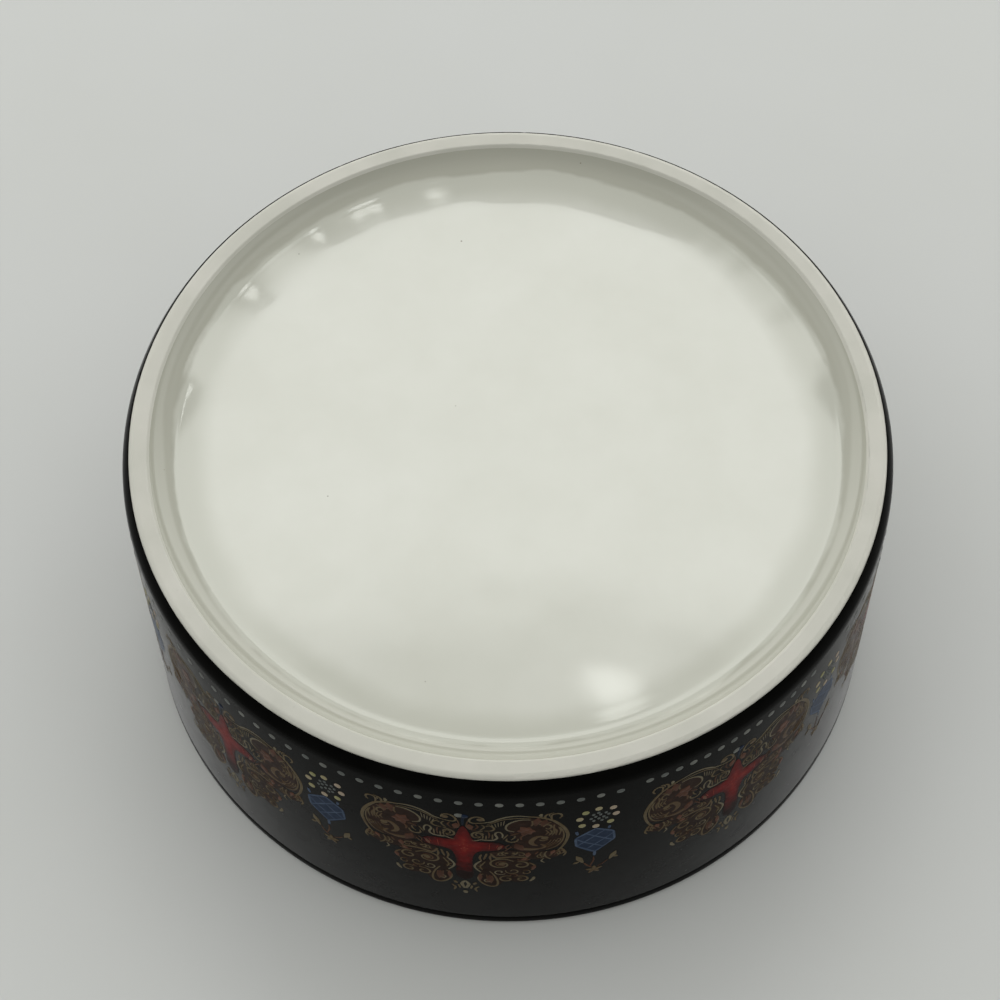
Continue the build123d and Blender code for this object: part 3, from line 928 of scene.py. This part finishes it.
def add_glaze():
    """The pool of clear glaze in the well, with the slow waves that break up its reflections."""
    points = []
    faces = []
    steps = pool_steps
    for waves, (middle_z, outline) in ((1.0, pool_profile()), (0.0, well_profile(-glaze_thickness))):
        first = len(points)
        points.append((0, 0, (middle_z + waves * ripple(0, 0)) * mm))
        for r, z in outline:
            calm = 1 - max(0.0, (r - well_flat_radius) / (outline[-1][0] - well_flat_radius))
            for index in range(steps):
                turn = 2 * math.pi * index / steps
                x, y = r * math.cos(turn), r * math.sin(turn)
                lifted = z + waves * (calm * ripple(x, y) + shelf(x, y))
                points.append((x * mm, y * mm, lifted * mm))
        for index in range(steps):
            following = (index + 1) % steps
            faces.append((first, first + 1 + index, first + 1 + following))
            for ring in range(len(outline) - 1):
                low = first + 1 + ring * steps
                faces.append((low + index, low + steps + index, low + steps + following, low + following))
    half = len(points) // 2
    top_edge = half - steps
    for index in range(steps):
        start, end = top_edge + index, top_edge + (index + 1) % steps
        faces.append((start, half + start, half + end, end))
    piece = add_piece("glaze_pool", points, faces, "clear_glaze", "box")
    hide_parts("base_glaze")


def arc(middle, radius, start, end, count):
    """Points of radius and height on an arc, with its turns in degrees up from the level."""
    made = []
    for index in range(count + 1):
        turn = math.radians(start + (end - start) * index / count)
        made.append((middle[0] + radius * math.cos(turn), middle[1] + radius * math.sin(turn)))
    return made


def revolve(name, outline, slot, body, steps=720, wobble=None):
    """A closed ring turned about the box's axis from an outline of radius and height in millimetres."""
    points = []
    faces = []
    count = len(outline)
    for index in range(steps):
        turn = 2 * math.pi * index / steps
        for number, (r, z) in enumerate(outline):
            if wobble:
                r, z = wobble(turn, number, r, z)
            points.append((r * mm * math.cos(turn), r * mm * math.sin(turn), z * mm))
    for index in range(steps):
        low, high = index * count, (index + 1) % steps * count
        for number in range(count):
            following = (number + 1) % count
            faces.append((low + number, high + number, high + following, low + following))
    return add_piece(name, points, faces, slot, body, crease=40)


def add_coats():
    """The black enamel on the wall and lid, run round the porcelain's rims to the seam between them."""
    outside = []
    for index in range(shoulder_points + 1):
        turn = math.radians(shoulder_turn * (1 - index / shoulder_points))
        thickness = min(coat, coat_edge + (coat - coat_edge) * index / thinning_points)
        reach = shoulder_radius - coat + thickness
        across, up = reach * math.cos(turn), reach * math.sin(turn)
        outside.append((shoulder_centre[0] + across, shoulder_centre[1] + up))
    rim = arc((49.86, 2.75), 0.14, 0, -90, 4) + [(49.34, 2.61)] + arc(lower_rim_centre, 0.5, -70, 0, 5)
    inside = arc(shoulder_centre, shoulder_radius - coat, 0, shoulder_turn, 8)

    def worn_edge(turn, number, r, z):
        """The enamel's upper edge wanders a little and is chipped here and there."""
        if number >= worn_points:
            return r, z
        place = Vector((edge_path_radius * math.cos(turn), edge_path_radius * math.sin(turn), 0))
        wander = sum(height * noise.noise(place / length) for length, height in edge_waves)
        chip = max(0.0, noise.noise(place / chip_length + chip_layer) - chip_threshold) * chip_gain
        fall = (wander - chip) * (1 - number / worn_points)
        return r - edge_fall[0] * fall, z + edge_fall[1] * fall

    wall = revolve("wall_coat", outside + rim + inside, "black_enamel", "box", wobble=worn_edge)
    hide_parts("wall_enamel")
    face = [(0.0, 0.25), (44.9, 0.25), (45.0, 0.1),
            (45.1, 0.0)] + arc(lid_rim_centre, lid_rim_radius, -90, 0, 8)
    lip = [(50.0, 2.5), (49.98, 2.56), (49.93, 2.58), (49.7, 2.58)]
    back = arc(lid_rim_centre, lid_rim_radius - coat, 0, -90, 6) + [(45.3, 0.3), (45.3, 0.55), (0.0, 0.55)]
    lid = revolve("lid_coat", face + lip + back, "black_enamel", "lid", steps=360)
    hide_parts("lid_enamel")


def make_floor():
    """The pale table that the box stands on, wide enough to be the backdrop too."""
    side = table_reach
    corners = [(-side, -side, 0), (side, -side, 0), (side, side, 0), (-side, side, 0)]
    mesh = bpy.data.meshes.new("floor")
    mesh.from_pydata(corners, [], [(0, 1, 2, 3)])
    floor = bpy.data.objects.new("floor", mesh)
    bpy.context.scene.collection.objects.link(floor)
    paint = Paint("pale_table", srgb(207, 209, 204), 0.7)
    tint = paint.ramp(paint.noise(60 * mm, 3), (0.3, srgb(206, 208, 203)), (0.7, srgb(209, 211, 207)))
    paint.set("Base Color", tint)
    mesh.materials.append(paint.material)


def make_camera():
    """The photograph's camera, turned about the box's middle."""
    back = Vector((0, -math.cos(camera_elevation), math.sin(camera_elevation)))
    level_right = Vector((1, 0, 0))
    level_up = Vector((0, math.sin(camera_elevation), math.cos(camera_elevation)))
    right = math.cos(camera_roll) * level_right + math.sin(camera_roll) * level_up
    up = math.cos(camera_roll) * level_up - math.sin(camera_roll) * level_right
    data = bpy.data.cameras.new("camera")
    data.lens = camera_lens
    data.sensor_width = sensor_width
    data.clip_start, data.clip_end = camera_clip
    camera = bpy.data.objects.new("camera", data)
    bpy.context.scene.collection.objects.link(camera)
    turn = Matrix((right, up, back)).transposed().to_4x4()
    place = camera_reach * back + camera_right * right + camera_up * up
    camera.matrix_world = Matrix.Translation(place) @ turn
    bpy.context.scene.camera = camera


def make_light():
    """Soft studio light, low and broad at the back and sides, with a bright panel and a lamp high behind."""
    world = bpy.data.worlds.new("studio")
    bpy.context.scene.world = world
    world.use_nodes = True
    sky = Nodes(world.node_tree, "Generated")
    x, y, z = sky.axes()
    rise = sky.math("DEGREES", sky.math("ARCSINE", z))
    turn = sky.math("DEGREES", sky.math("ARCTAN2", x, y))
    off = sky.math("ABSOLUTE", turn)
    low = sky.hump(rise, *low_rise)
    middle = sky.hump(rise, *middle_rise)
    high = sky.hump(rise, *high_rise)
    back = sky.remap(off, *back_turn, 1.0, 0.0, curve="SMOOTHSTEP")
    sides = sky.hump(off, *side_turn)
    left = sky.hump(turn, *left_turn)
    panel_side = sky.remap(off, *panel_turn, 1.0, 0.0, curve="SMOOTHSTEP")
    extra = 0.0
    for part in (
        sky.product(back, low, back_low_light),
        sky.product(back, middle, back_middle_light),
        sky.product(sides, low, side_low_light),
        sky.product(left, middle, left_middle_light),
        sky.product(sides, high, side_high_light),
        sky.product(sky.hump(rise, *panel_rise), panel_side, panel_light),
        sky.product(sky.hump(rise, *lamp_rise), sky.hump(turn, *lamp_turn), lamp_light),
    ):
        extra = sky.math("ADD", extra, part)
    path = sky.node("ShaderNodeLightPath").outputs
    mirrored = sky.math("MAXIMUM", path["Is Glossy Ray"], path["Is Transmission Ray"])
    seen = sky.math("MAXIMUM", path["Is Camera Ray"], mirrored)
    light = world.node_tree.nodes["Background"]
    shown = sky.node("ShaderNodeBackground")
    sky.feed(light.inputs["Color"], (1.0, 1.0, 1.0, 1.0))
    sky.feed(light.inputs["Strength"], sky.math("ADD", extra, base_light))
    # The backdrop's strength is 1 where the camera sees it. Its bright parts lie higher up, for reflections.
    sky.feed(shown.inputs["Color"], srgb(198, 200, 196))
    sky.feed(shown.inputs["Strength"], sky.math("ADD", sky.math("DIVIDE", extra, backdrop_level), 1.0))
    blend = sky.node("ShaderNodeMixShader")
    sky.feed(blend.inputs[0], seen)
    sky.feed(blend.inputs[1], light.outputs[0])
    sky.feed(blend.inputs[2], shown.outputs[0])
    sky.feed(world.node_tree.nodes["World Output"].inputs["Surface"], blend.outputs[0])


dress_frame()
add_glaze()
add_coats()
add_ornament()
make_floor()
make_camera()
make_light()

bpy.context.scene.view_settings.view_transform = "Standard"
